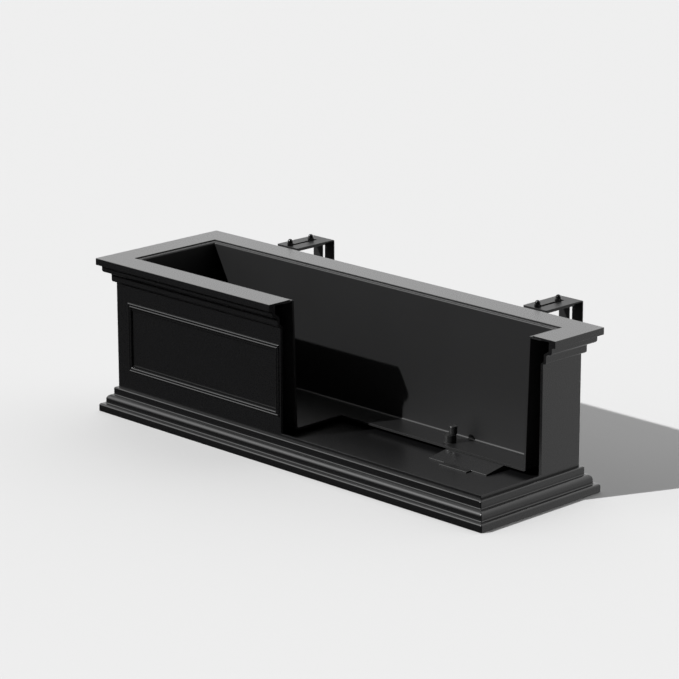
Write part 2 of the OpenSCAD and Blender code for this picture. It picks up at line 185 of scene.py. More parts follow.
def deselect() -> None:
    """Leaves edit mode and deselects every object."""
    if bpy.context.object is not None and bpy.context.object.mode != "OBJECT":
        bpy.ops.object.mode_set(mode="OBJECT")
    bpy.ops.object.select_all(action="DESELECT")


def pick(piece: bpy.types.Object) -> None:
    """Makes one piece the only selected and active object.

    Args:
        piece: The object to work on.
    """
    deselect()
    piece.hide_viewport = False
    piece.select_set(True)
    bpy.context.view_layer.objects.active = piece


def name_active(title: str) -> bpy.types.Object:
    """Names the active object and its mesh.

    Args:
        title: The piece's name.

    Returns:
        The active object.
    """
    piece = bpy.context.object
    piece.name = piece.data.name = title
    return piece


def edit(piece: bpy.types.Object) -> None:
    """Opens a piece in edit mode with nothing selected.

    Args:
        piece: The piece to open.
    """
    pick(piece)
    bpy.ops.object.mode_set(mode="EDIT")
    bpy.ops.mesh.select_all(action="DESELECT")


def select_edges(piece: bpy.types.Object, test: EdgeTest) -> int:
    """Opens a piece in edit mode with the edges selected that pass a test.

    Args:
        piece: The piece to open.
        test: Takes the two ends of an edge, in millimetres.

    Returns:
        How many edges are selected.
    """
    edit(piece)
    bpy.ops.mesh.select_mode(type="EDGE")
    bpy.ops.object.mode_set(mode="OBJECT")
    points = [v.co / MM for v in piece.data.vertices]
    count = 0
    for edge in piece.data.edges:
        edge.select = test(points[edge.vertices[0]], points[edge.vertices[1]])
        count += edge.select
    bpy.ops.object.mode_set(mode="EDIT")
    return count


def select_vertices(piece: bpy.types.Object, test: Callable[[Vector], bool]) -> int:
    """Opens a piece in edit mode with the vertices selected that pass a test.

    Args:
        piece: The piece to open.
        test: Takes a vertex's place in millimetres.

    Returns:
        How many vertices are selected.
    """
    edit(piece)
    bpy.ops.mesh.select_mode(type="VERT")
    bpy.ops.object.mode_set(mode="OBJECT")
    count = 0
    for vertex in piece.data.vertices:
        vertex.select = test(vertex.co / MM)
        count += vertex.select
    bpy.ops.object.mode_set(mode="EDIT")
    return count


def close_edit(outward: bool = False) -> None:
    """Leaves edit mode.

    Args:
        outward: Whether the faces are turned outwards first.
    """
    if outward:
        bpy.ops.mesh.select_all(action="SELECT")
        bpy.ops.mesh.normals_make_consistent(inside=False)
    bpy.ops.object.mode_set(mode="OBJECT")


def add_modifier(piece: bpy.types.Object, kind: str, **settings: object) -> None:
    """Adds a modifier to a piece and applies it.

    Args:
        piece: The piece to change.
        kind: The modifier's type.
        settings: The modifier's own settings.
    """
    pick(piece)
    modifier = piece.modifiers.new(kind.lower(), kind)
    for key, value in settings.items():
        setattr(modifier, key, value)
    bpy.ops.object.modifier_apply(modifier=modifier.name)


def carve(piece: bpy.types.Object, tool: bpy.types.Object, operation: str = "DIFFERENCE") -> None:
    """Cuts a tool out of a piece, or joins it on, and removes the tool.

    Args:
        piece: The piece to change.
        tool: The cutting or joining shape.
        operation: DIFFERENCE or UNION.
    """
    add_modifier(piece, "BOOLEAN", object=tool, operation=operation, solver="EXACT")
    bpy.data.objects.remove(tool)


def soften(piece: bpy.types.Object, width: float, steps: int = 2, angle: float = 40.0) -> None:
    """Rounds every sharp edge of a piece.

    Args:
        piece: The piece to change.
        width: Width of the rounding, in millimetres.
        steps: Segments across the rounding.
        angle: Edges that bend more than this many degrees are rounded.
    """
    add_modifier(
        piece,
        "BEVEL",
        width=width * MM,
        segments=steps,
        limit_method="ANGLE",
        angle_limit=math.radians(angle),
        use_clamp_overlap=True,
    )


def finish_piece(
    piece: bpy.types.Object, finish: bpy.types.Material, slot: str, body: str, *nodes: str
) -> bpy.types.Object:
    """Shades a finished piece, gives it its finish, attaches it to its body and hides its CAD
    nodes.

    Args:
        piece: The finished piece.
        finish: Its material.
        slot: Not used; the record's material slot.
        body: The CAD body that it rides on.
        nodes: The CAD nodes that it stands for.

    Returns:
        The piece.
    """
    pick(piece)
    bpy.ops.object.transform_apply(location=True, rotation=True, scale=True)
    bpy.ops.object.shade_smooth_by_angle(angle=math.radians(SMOOTH_BELOW))
    add_modifier(piece, "WEIGHTED_NORMAL", keep_sharp=True, weight=80)
    piece.data.materials.clear()
    piece.data.materials.append(finish)
    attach(piece, body)
    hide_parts(*nodes)
    log.info("%s: %d faces for %s", piece.name, len(piece.data.polygons), ", ".join(nodes))
    return piece


def arc(centre: Point, radius: float, start: float, end: float, steps: int = 6) -> list[Point]:
    """Points along an arc.

    Args:
        centre: The arc's centre.
        radius: Its radius.
        start: First angle in degrees.
        end: Last angle in degrees.
        steps: Number of segments.

    Returns:
        The points, first and last included.
    """
    return [
        (
            centre[0] + radius * math.cos(math.radians(start + (end - start) * i / steps)),
            centre[1] + radius * math.sin(math.radians(start + (end - start) * i / steps)),
        )
        for i in range(steps + 1)
    ]


def draw_up_rings(title: str, rings: Sequence[Ring], corner: float) -> bpy.types.Object:
    """Draws a closed block up, ring by ring, from a plate with rounded corners.

    Args:
        title: The piece's name.
        rings: Half length, half depth and height of each ring, in millimetres.
        corner: Radius of the plate's corners.

    Returns:
        The block, in object mode.
    """
    deselect()
    half_x, half_y, height = rings[0]
    bpy.ops.mesh.primitive_plane_add(size=2, location=(0, 0, 0))
    piece = name_active(title)
    bpy.ops.object.mode_set(mode="EDIT")
    bpy.ops.mesh.select_all(action="SELECT")
    bpy.ops.transform.resize(value=(half_x * MM, half_y * MM, 1), center_override=(0, 0, 0))
    bpy.ops.transform.translate(value=(0, 0, height * MM))
    bpy.ops.mesh.bevel(offset=corner * MM, segments=4, affect="VERTICES", clamp_overlap=False)
    bpy.ops.mesh.select_all(action="SELECT")
    for next_x, next_y, next_height in rings[1:]:
        bpy.ops.mesh.extrude_region_move(
            TRANSFORM_OT_translate={"value": (0, 0, (next_height - height) * MM)}
        )
        bpy.ops.transform.resize(
            value=(next_x / half_x, next_y / half_y, 1),
            center_override=(0, 0, next_height * MM),
        )
        half_x, half_y, height = next_x, next_y, next_height
    close_edit(outward=True)
    return piece


def add_block(title: str, low: Sequence[float], high: Sequence[float]) -> bpy.types.Object:
    """Adds a plain block between two corners, for cutting or for further shaping.

    Args:
        title: The block's name.
        low: Lowest corner in millimetres.
        high: Highest corner in millimetres.

    Returns:
        The block.
    """
    deselect()
    middle = [(a + b) / 2 * MM for a, b in zip(low, high)]
    bpy.ops.mesh.primitive_cube_add(size=1, location=middle)
    piece = name_active(title)
    piece.scale = [(b - a) * MM for a, b in zip(low, high)]
    bpy.ops.object.transform_apply(location=True, rotation=True, scale=True)
    return piece


def add_rod(
    title: str,
    foot: Sequence[float],
    radius: float,
    length: float,
    axis: Axis = Axis.Z,
    sides: int = 48,
    turn: float = 0.0,
) -> bpy.types.Object:
    """Adds a round bar that starts at a point and runs along an axis.

    Args:
        title: The bar's name.
        foot: Middle of its first end, in millimetres.
        radius: Its radius.
        length: Its length along the axis; along Y it runs to +Y.
        axis: The axis that it lies along.
        sides: Number of sides.
        turn: Turn about the bar's own axis, in degrees.

    Returns:
        The bar.
    """
    deselect()
    bpy.ops.mesh.primitive_cylinder_add(
        vertices=sides, radius=radius * MM, depth=length * MM, location=(0, 0, length / 2 * MM)
    )
    piece = name_active(title)
    bpy.ops.object.transform_apply(location=True, rotation=False, scale=False)
    lay = Matrix.Rotation(axis.value, 4, "X") @ Matrix.Rotation(math.radians(turn), 4, "Z")
    piece.matrix_world = Matrix.Translation([v * MM for v in foot]) @ lay
    bpy.ops.object.transform_apply(location=True, rotation=True, scale=True)
    return piece


def add_slot(
    title: str, start: Sequence[float], run: Sequence[float], width: float, axis: Axis
) -> bpy.types.Object:
    """Adds a cutter with round ends for a slot.

    Args:
        title: The cutter's name.
        start: Middle of the slot's first round end, on the near side of the plate.
        run: Way from that middle to the other one, in millimetres.
        width: Width of the slot.
        axis: The axis that the cutter goes through the plate along.

    Returns:
        The cutter.
    """
    cutter = add_rod(title, start, width / 2, 8, axis, 32, turn=360 / 64)
    way = Vector(run)
    middle = Vector(start)
    select_vertices(cutter, lambda p: (p - middle).dot(way) > 0)
    bpy.ops.transform.translate(value=way * MM)
    close_edit()
    return cutter


def join_all(pieces: Sequence[bpy.types.Object], title: str) -> bpy.types.Object:
    """Joins meshes that stand apart into one piece.

    Args:
        pieces: The meshes.
        title: Name of the whole.

    Returns:
        The joined piece.
    """
    pick(pieces[0])
    for piece in pieces[1:]:
        piece.select_set(True)
    bpy.ops.object.join()
    return name_active(title)


def copy_of(piece: bpy.types.Object, move: Sequence[float]) -> bpy.types.Object:
    """Copies a piece with its own mesh to another place.

    Args:
        piece: The piece to copy.
        move: The way from the piece to its copy, in millimetres.

    Returns:
        The copy.
    """
    twin = piece.copy()
    twin.data = piece.data.copy()
    bpy.context.scene.collection.objects.link(twin)
    pick(twin)
    twin.location = [v * MM for v in move]
    bpy.ops.object.transform_apply(location=True, rotation=False, scale=False)
    return twin


@dataclass
class Cutaway:
    """The quarter that is taken out of shell and liner."""

    left: float = -19.5
    rear: float = 24.3
    low: float = 49.8
    rounding: float = 0.35
    shortest: float = 0.4

    def tool(self, low: float) -> bpy.types.Object:
        """Block that removes the quarter.

        Args:
            low: Height of the block's underside, in millimetres.

        Returns:
            The cutter.
        """
        return add_block(
            "cut_quarter", (self.left, -RIM_DEPTH, low), (RIM_LENGTH, self.rear, 2 * HEIGHT)
        )

    def take_out(self, piece: bpy.types.Object, low: float) -> None:
        """Cuts the quarter out of a piece and rounds the edges of the cut.

        Args:
            piece: The piece to cut.
            low: Height from which it is cut, in millimetres.
        """
        carve(piece, self.tool(low))
        count = select_edges(piece, self.on_cut)
        bpy.ops.mesh.bevel(offset=self.rounding * MM, segments=2, clamp_overlap=False)
        close_edit()
        log.info("%s: %d cut edges rounded", piece.name, count)

    def on_cut(self, a: Vector, b: Vector) -> bool:
        """Whether an edge lies on one of the three cut planes.

        Args:
            a: One end, in millimetres.
            b: The other end.

        Returns:
            True for an edge of a cut face.
        """
        inside = all(p.x > self.left - NEAR and p.y < self.rear + NEAR for p in (a, b))
        on_plane = any(
            abs(one - at) < NEAR and abs(other - at) < NEAR
            for one, other, at in zip(a, b, (self.left, self.rear, self.low))
        )
        above = min(a.z, b.z) > FLOOR_TOP + 2 * NEAR
        return inside and above and on_plane and (a - b).length > self.shortest


@dataclass
class OuterShell:
    """Outer skin with plinth, crown, rim, outer floor, floor pads and panel moulding."""

    skin: float = 5.0
    corner: float = 1.6
    rim_width: float = 48.0
    rim_skin: float = 4.0
    lip: float = 2.5
    lap: float = 18.05
    insert: float = 5.05
    pad_length: float = 127.0
    pad_offset: float = 288.5
    pad_front: float = -17.4
    pad_rear: float = 24.3
    pad_back: float = 32.3
    tongue_length: float = 61.0
    tongue_front: float = -29.4
    pad_rounding: float = 0.8
    frame_end: float = 29.6
    frame_post: float = 45.0
    field_margin: float = 12.6
    field_depth: float = 2.0
    frame_low: float = 78.0
    frame_height: float = 125.0
    bead: float = 4.5
    bead_rise: float = 2.2
    bead_corner: float = 0.4

    def plinth(self) -> list[Point]:
        """Three rounded steps, from the ground up, each point given as overhang and height.

        Returns:
            The points from the underside to the wall's foot.
        """
        return [
            (OVERHANG - 0.8, 0.0),
            *arc((OVERHANG - 0.8, 0.8), 0.8, 270, 360, 2),
            *arc((OVERHANG - 3.5, 10.5), 3.5, 0, 90),
            *arc((STEP_2 + 2, 16), 2, 270, 180, 4),
            *arc((STEP_2 - 8.3, 21.8), 8.3, 0, 90, 10),
            *arc((STEP_3 + 1.7, 31.8), 1.7, 270, 180, 4),
            *arc((STEP_3 - 2.5, 41.4), 2.5, 0, 90),
            (0.0, 43.9),
        ]

    def crown(self) -> list[Point]:
        """Band, cove, quarter round and fascia, from the wall up to the rim.

        Returns:
            The points from the wall's head to the rim's top.
        """
        drops = [
            *arc((1.5, -CROWN), 1.5, 180, 90, 4),
            *arc((STEP_3 - 3.5, 5 - CROWN), 3.5, 270, 360),
            *arc((STEP_3 + 5.6, -30.5), 5.6, 180, 90, 8),
            *arc((STEP_2 - 2.8, -20.6), 4.3, 270, 360),
            (STEP_2 + 1.5, -13.2),
            *arc((OVERHANG - 0.5, -11.3), 0.5, 270, 360, 3),
            *arc((OVERHANG - 0.6, -0.6), 0.6, 0, 90, 4),
        ]
        return [(out, HEIGHT + drop) for out, drop in drops]

    def inside(self) -> list[Point]:
        """From the rim's top over the lip and down the hollow to the outer floor.

        Returns:
            The points from the rim's inner edge to the floor.
        """
        step_2, step_3 = STEP_2 - self.skin, STEP_3 - self.skin
        seam = OVERHANG - self.rim_width
        seam_z, under_z = HEIGHT - self.lip, HEIGHT - self.rim_skin
        return [
            *arc((seam + 0.8, HEIGHT - 0.8), 0.8, 90, 180, 4),
            (seam, seam_z),
            (seam + self.lap, seam_z),
            (seam + self.lap, under_z),
            (step_2, under_z),
            (step_2, HEIGHT - 19),
            (step_3, HEIGHT - 26),
            (step_3, HEIGHT - 38.1),
            (-self.skin, HEIGHT - CROWN + 1),
            *arc((-self.skin - 2, FLOOR_TOP + 2), 2, 0, -90, 4),
        ]

    def round_top(self, piece: bpy.types.Object, front: float, rear: float) -> None:
        """Rounds a raised block's upper edges at its front and along its sides.

        Args:
            piece: The block.
            front: Y of its front face.
            rear: Y behind which no side edge may start.
        """
        select_edges(
            piece,
            lambda a, b: min(a.z, b.z) > FLOOR_TOP + 1
            and (
                max(a.y, b.y) < front + NEAR
                or (abs(a.x - b.x) < NEAR and min(a.y, b.y) < rear)
            ),
        )
        bpy.ops.mesh.bevel(offset=self.pad_rounding * MM, segments=3, clamp_overlap=False)
        close_edit(outward=True)

    def pads(self) -> list[bpy.types.Object]:
        """Two sloping pads with tongues, moulded up from the floor to carry the liner.

        Returns:
            Pads and tongues, to be joined on.
        """
        x, half, tongue_half = -self.pad_offset, self.pad_length / 2, self.tongue_length / 2
        root, front_top = FLOOR_TOP - 2, FLOOR_TOP + 2
        pad = add_block(
            "pad", (x - half, self.pad_rear, root), (x + half, self.pad_back, LINER_UNDER)
        )
        select_vertices(pad, lambda p: p.y < self.pad_rear + NEAR)
        bpy.ops.mesh.select_mode(type="FACE")
        run = self.pad_front - self.pad_rear
        bpy.ops.mesh.extrude_region_move(TRANSFORM_OT_translate={"value": (0, run * MM, 0)})
        select_vertices(pad, lambda p: p.y < self.pad_front + NEAR and p.z > FLOOR_TOP)
        bpy.ops.transform.translate(value=(0, 0, (front_top - LINER_UNDER) * MM))
        close_edit()
        self.round_top(pad, self.pad_front, self.pad_rear)
        tongue = add_block(
            "tongue",
            (x - tongue_half, self.tongue_front, root),
            (x + tongue_half, self.pad_front + 3, front_top),
        )
        self.round_top(tongue, self.tongue_front, self.pad_front)
        twins = [copy_of(piece, (2 * self.pad_offset, 0, 0)) for piece in (pad, tongue)]
        return [pad, tongue, *twins]

    def panel_moulding(self, sign: int) -> bpy.types.Object:
        """Picture frame of two beads on the front wall.

        Args:
            sign: Which side of the wall's middle it lies on.

        Returns:
            The frame, with a solid back inside the wall.
        """
        half_x = (WALL_X - self.frame_end - self.frame_post / 2) / 2
        half_z = self.frame_height / 2
        half = self.bead / 2
        rise = self.bead_rise / half
        path = [
            (0.0, -2.0),
            *[(w, h * rise) for w, h in arc((half, 0), half, 180, 8, 8)],
            *[(w, h * rise) for w, h in arc((3 * half, 0), half, 172, 0, 8)],
            (4 * half, -1.0),
        ]
        rings = [(half_x - w, half_z - w, h) for w, h in path]
        moulding = draw_up_rings("panel_moulding", rings, self.bead_corner)
        middle = sign * (self.frame_post / 2 + half_x)
        moulding.matrix_world = Matrix.Translation(
            (middle * MM, -WALL_Y * MM, (self.frame_low + half_z) * MM)
        ) @ Matrix.Rotation(math.pi / 2, 4, "X")
        pick(moulding)
        bpy.ops.object.transform_apply(location=True, rotation=True, scale=True)
        return moulding

    def panel_field(self, sign: int) -> bpy.types.Object:
        """Cutter that sinks the field inside a picture frame.

        Args:
            sign: Which side of the wall's middle it lies on.

        Returns:
            The cutter.
        """
        beads = 2 * self.bead + 0.2
        ends = (self.frame_post / 2 + beads, WALL_X - self.frame_end - beads)
        low_x, high_x = sorted(sign * end for end in ends)
        top = self.frame_low + self.frame_height - self.field_margin
        return add_block(
            "panel_field",
            (low_x, -WALL_Y - 1, self.frame_low + self.field_margin),
            (high_x, -WALL_Y + self.field_depth, top),
        )

    def screw_holes(self) -> bpy.types.Object:
        """Cutter for the holes of the inserts in the back wall.

        Returns:
            All eight bars as one mesh.
        """
        foot_y, length = WALL_Y - self.skin - 1, self.skin + 2
        places = [(side.sign * BRACKET_X + dx, z) for side in Side for dx, z in SCREW_PLACES]
        bars = [
            add_rod("hole", (x, foot_y, z), self.insert, length, Axis.Y, 32) for x, z in places
        ]
        return join_all(bars, "holes")

    def build(self, cut: Cutaway, finish: bpy.types.Material) -> bpy.types.Object:
        """Models the shell.

        Args:
            cut: The quarter to take out.
            finish: The shell's material.

        Returns:
            The finished piece.
        """
        path = [*self.plinth(), *self.crown(), *self.inside()]
        rings = [(WALL_X + out, WALL_Y + out, z) for out, z in path]
        shell = draw_up_rings("moulded_shell", rings, self.corner)
        for pad in self.pads():
            carve(shell, pad, "UNION")
        for sign in (-1, 1):
            carve(shell, self.panel_moulding(sign), "UNION")
            carve(shell, self.panel_field(sign))
        carve(shell, self.screw_holes())
        cut.take_out(shell, cut.low)
        return finish_piece(shell, finish, "shell_plastic", BODY, "outer_shell")


@dataclass
class InnerLiner:
    """Planting trough with drafted walls, a narrow flat lip and a flange under the rim."""

    inset: float = 49.0
    lip_width: float = 4.5
    lip_radius: float = 3.0
    flange_inset: float = 30.0
    draft: float = 6.5
    lip_drop: float = 2.0
    flange: float = 2.5
    fillet: float = 4.0
    heel: float = 5.0
    corner: float = 3.0

    def rings(self) -> list[Ring]:
        """Rings from the underside out, over the lip and down to the floor inside.

        Returns:
            Half length, half depth and height of each ring.
        """
        lip_top = HEIGHT - self.lip_drop
        flange_top = lip_top - 0.5
        lip_end = self.inset + self.lip_width
        wall = lip_end + self.lip_radius - LINER_SKIN
        low = wall + self.draft
        inner_low = low + LINER_SKIN
        path = [
            *[
                (low - w, z)
                for w, z in arc((-self.heel, LINER_UNDER + self.heel), self.heel, 270, 360, 5)
            ],
            (wall, flange_top - self.flange),
            (self.flange_inset, flange_top - self.flange),
            (self.flange_inset, flange_top),
            (self.inset, flange_top),
            (self.inset, lip_top),
            *[
                (lip_end - w, z)
                for w, z in arc((0, lip_top - self.lip_radius), self.lip_radius, 90, 180, 6)
            ],
            *[
                (inner_low + self.fillet + w, LINER_FLOOR_TOP + self.fillet + h)
                for w, h in arc((0, 0), self.fillet, 180, 270, 6)
            ],
        ]
        return [(RIM_LENGTH / 2 - w, RIM_DEPTH / 2 - w, z) for w, z in path]

    def build(self, cut: Cutaway, finish: bpy.types.Material) -> bpy.types.Object:
        """Models the liner.

        Args:
            cut: The quarter to take out.
            finish: The liner's material.

        Returns:
            The finished piece.
        """
        liner = draw_up_rings("planting_liner", self.rings(), self.corner)
        foot = (*PIPE_PLACE, LINER_FLOOR_TOP - 2 * LINER_SKIN)
        carve(liner, add_rod("pipe_hole", foot, PIPE_HOLE, 3 * LINER_SKIN))
        cut.take_out(liner, FLOOR_TOP)
        return finish_piece(liner, finish, "liner_plastic", BODY, "inner_liner")


@dataclass
class Standpipe:
    """Clamping drum and cap of the overflow pipe in the liner's floor."""

    drum_shift: float = -3.7
    gasket: float = 2.4
    drum_radius: float = 11.0
    drum_height: float = 11.0
    drum_rounding: float = 0.5
    cap_gap: float = 1.0
    cap_radius: float = 7.0
    cap_top: float = 28.05
    cap_roof: float = 3.0
    shoulder: float = 1.2
    cap_rounding: float = 0.2
    dish_slope: float = 0.6

    @staticmethod
    def dish(piece: bpy.types.Object, top: float, rim: float, slope: float, depth: float) -> None:
        """Sinks a shallow dish in the top of an upright bar.

        Args:
            piece: The bar.
            top: Height of its top.
            rim: Width of the rim that is left round the dish.
            slope: Width of the dish's sloping side.
            depth: Depth of the dish.
        """
        select_vertices(piece, lambda p: p.z > top - NEAR)
        bpy.ops.mesh.select_mode(type="FACE")
        bpy.ops.mesh.inset(thickness=rim * MM, depth=0)
        bpy.ops.mesh.inset(thickness=slope * MM, depth=-depth * MM)
        close_edit(outward=True)

    def drum(self) -> bpy.types.Object:
        """Smooth drum round the pipe, off its centre, with rounded edges above and below.

        Returns:
            The drum.
        """
        low = LINER_FLOOR_TOP + self.gasket
        place = [at + self.drum_shift for at in PIPE_PLACE]
        drum = add_rod("clamp_drum", (*place, low), self.drum_radius, self.drum_height, sides=80)
        self.dish(drum, low + self.drum_height, 1.6, self.dish_slope, 0.6)
        carve(drum, add_rod("bore", (*PIPE_PLACE, low - 1), PIPE_HOLE, self.drum_height + 2))
        soften(drum, self.drum_rounding, 3, 35)
        return drum

    def cap(self) -> bpy.types.Object:
        """Cap with a rounded shoulder and a shallow dish on top.

        Returns:
            The cap.
        """
        low = LINER_FLOOR_TOP + self.gasket + self.drum_height + self.cap_gap
        top = LINER_FLOOR_TOP + self.cap_top
        cap = add_rod("pipe_cap", (*PIPE_PLACE, low), self.cap_radius, top - low, sides=64)
        self.dish(cap, top, 2.3, self.dish_slope, 0.5)
        middle = Vector(PIPE_PLACE)
        select_edges(
            cap,
            lambda a, b: min(a.z, b.z) > top - NEAR
            and min((p.xy - middle).length for p in (a, b)) > self.cap_radius - 0.1,
        )
        bpy.ops.mesh.bevel(offset=self.shoulder * MM, segments=4, clamp_overlap=False)
        close_edit(outward=True)
        depth = top - self.cap_roof - low
        carve(cap, add_rod("cap_bore", (*PIPE_PLACE, low - 1), PIPE_HOLE, depth + 1))
        soften(cap, self.cap_rounding, 2, 35)
        return cap

    def build(self, finish: bpy.types.Material) -> None:
        """Models drum and cap.

        Args:
            finish: The fittings' material.
        """
        finish_piece(self.drum(), finish, "fitting_plastic", BODY, "standpipe_nut")
        finish_piece(self.cap(), finish, "fitting_plastic", BODY, "standpipe_cap")


@dataclass
class RailBracket:
    """Saddle bracket: fixed arm, sliding hook, cap nuts and wall screws.

    It is modelled once, at the left end, and copied to the right.
    """

    middle: float = -BRACKET_X
    width: float = 51.0
    plate: float = 2.5
    bend: float = 3.0
    top: float = HEIGHT - 3.2
    slide_gap: float = 0.1
    riser_y: float = RIM_DEPTH / 2 + 18.0
    hook_reach: float = 91.7
    hook_drop: float = 76.0
    hook_corner: float = 1.5
    arm_reach: float = 69.0
    gusset: float = 40.0
    gusset_nose: float = 4.0
    rounding: float = 0.3
    slot_width: float = 6.6
    slot_foot: float = 9.0
    slot_head: float = 11.4
    slot_run: float = 60.7
    stud_inset: float = 7.3
    stud_pitch: float = 50.5
    stud_hole: float = 4.35
    nut_flats: float = 10.0
    nut_hex: float = 5.0
    nut_belly: float = 0.9
    nut_neck: float = 2.9
    nut_bore: float = 3.05
    screw_hole: float = 3.3
    head_radius: float = 5.5
    head_height: float = 3.6
    head_rounding: float = 1.6
    recess: float = 2.3
    shank_radius: float = 2.95
    shank_length: float = 11.0

    @property
    def stud_ys(self) -> list[float]:
        """Y of the two studs."""
        first = self.riser_y + self.stud_inset
        return [first, first + self.stud_pitch]

    def strip(
        self, title: str, path: Sequence[Point], outer: Vector, corner: float = 0.0
    ) -> bpy.types.Object:
        """Bends a strip of plate along a path and gives it its thickness.

        Args:
            title: The piece's name.
            path: Y and Z of the outer face's points; its first stretch is level or upright.
            outer: The way that the outer face of the first stretch looks.
            corner: Radius of the four free corners.

        Returns:
            The strip with its thickness.
        """
        deselect()
        (y, z), (next_y, next_z) = path[:2]
        turn = math.pi / 2 if abs(outer.y) > abs(outer.z) else 0.0
        bpy.ops.mesh.primitive_plane_add(size=1, location=(0, 0, 0), rotation=(turn, 0, 0))
        piece = name_active(title)
        piece.scale = (self.width * MM, (next_y - y + next_z - z) * MM, 1)
        piece.location = (self.middle * MM, (y + next_y) / 2 * MM, (z + next_z) / 2 * MM)
        bpy.ops.object.transform_apply(location=True, rotation=True, scale=True)
        first, last = Vector((y, z)), Vector((next_y, next_z))
        for point in path[2:]:
            select_edges(
                piece,
                lambda a, b: abs(a.x - b.x) > self.width - 0.1
                and all((p.yz - last).length < NEAR / 2 for p in (a, b)),
            )
            step = (0, (point[0] - last.x) * MM, (point[1] - last.y) * MM)
            bpy.ops.mesh.extrude_region_move(TRANSFORM_OT_translate={"value": step})
            last = Vector(point)
        if corner:
            select_vertices(piece, lambda p: min((p.yz - e).length for e in (first, last)) < NEAR)
            bpy.ops.mesh.bevel(
                offset=corner * MM, segments=5, affect="VERTICES", clamp_overlap=False
            )
        close_edit(outward=True)
        if piece.data.polygons[0].normal.dot(outer) < 0:
            edit(piece)
            bpy.ops.mesh.select_all(action="SELECT")
            bpy.ops.mesh.flip_normals()
            close_edit()
        add_modifier(
            piece, "SOLIDIFY", thickness=self.plate * MM, offset=-1, use_even_offset=True
        )
        return piece

    def hook(self) -> bpy.types.Object:
        """Sliding plate with its rear leg, both slotted.

        Returns:
            The hook.
        """
        leg, foot = self.riser_y + self.hook_reach, self.top - self.hook_drop
        path = [
            (self.riser_y, self.top),
            *arc((leg - self.bend, self.top - self.bend), self.bend, 90, 0, 6),
            (leg, foot),
        ]
        hook = self.strip("hook", path, Vector((0, 0, 1)), self.hook_corner)
        below, before = self.top - self.plate - 2, leg - self.plate - 2
        web_run = self.hook_drop - self.slot_head - self.slot_foot - self.slot_width
        web_start = foot + self.slot_foot + self.slot_width / 2
        for start, run, axis in (
            ((self.middle, self.stud_ys[0], below), (0, self.slot_run, 0), Axis.Z),
            ((self.middle, before, web_start), (0, 0, web_run), Axis.Y),
        ):
            carve(hook, add_slot("slot", start, run, self.slot_width, axis))
        soften(hook, self.rounding)
        return hook

    def arm(self) -> bpy.types.Object:
        """Fixed strip from the wall over the shelf and riser to the saddle.

        Returns:
            The arm.
        """
        top = self.top - self.plate - self.slide_gap
        radius, tight = self.bend, self.bend - self.plate
        path = [
            (WALL_Y, SHELF_Z - WALL_LEG),
            *arc((WALL_Y + radius, SHELF_Z - radius), radius, 180, 90, 6),
            *arc((self.riser_y - tight, SHELF_Z + tight), tight, 270, 360, 3),
            *arc((self.riser_y + radius, top - radius), radius, 180, 90, 6),
            (self.riser_y + self.arm_reach, top),
        ]
        arm = self.strip("arm", path, Vector((0, -1, 0)))
        for sign in (-1, 1):
            carve(arm, self.gusset_plate(sign), "UNION")
        for y in self.stud_ys:
            place = (self.middle, y, top - 4)
            carve(arm, add_rod("stud_hole", place, self.stud_hole, 8, sides=32))
        for dx, z in SCREW_PLACES:
            place = (self.middle + dx, WALL_Y - 2, z)
            carve(arm, add_rod("hole", place, self.screw_hole, 8, Axis.Y, 24))
        soften(arm, self.rounding)
        return arm

    def gusset_plate(self, sign: int) -> bpy.types.Object:
        """Three-cornered side plate under the shelf.

        Args:
            sign: Which side of the bracket it stands at.

        Returns:
            The plate.
        """
        under = SHELF_Z - self.plate
        edge = self.middle + sign * self.width / 2
        low_x, high_x = sorted((edge, edge - sign * self.plate))
        front = self.riser_y + self.plate - self.bend
        plate = add_block(
            "gusset",
            (low_x, WALL_Y + self.plate / 2, under - self.gusset),
            (high_x, front, under + self.plate / 2),
        )
        select_vertices(plate, lambda p: p.y > front - NEAR and p.z < under - 1)
        bpy.ops.transform.translate(value=(0, 0, (self.gusset - self.gusset_nose) * MM))
        close_edit()
        return plate

    def chamfer(self, place: Sequence[float]) -> bpy.types.Object:
        """Barrel that trims the corners of a nut's hexagon above and below.

        Args:
            place: Middle of the hexagon's underside.

        Returns:
            The barrel.
        """
        x, y, low = place
        radius = self.nut_flats / 2
        barrel = add_rod("chamfer", (x, y, low - NEAR), radius, self.nut_hex + 2 * NEAR)
        select_edges(barrel, lambda a, b: abs(a.z - b.z) > 1)
        bpy.ops.mesh.subdivide(number_cuts=2)
        close_edit()
        select_vertices(barrel, lambda p: low + 0.5 < p.z < low + self.nut_hex - 0.5)
        grow = 1 + self.nut_belly / radius
        middle = Vector((x, y, low + self.nut_hex / 2)) * MM
        bpy.ops.transform.resize(value=(grow, grow, 2.3), center_override=middle)
        close_edit(outward=True)
        return barrel

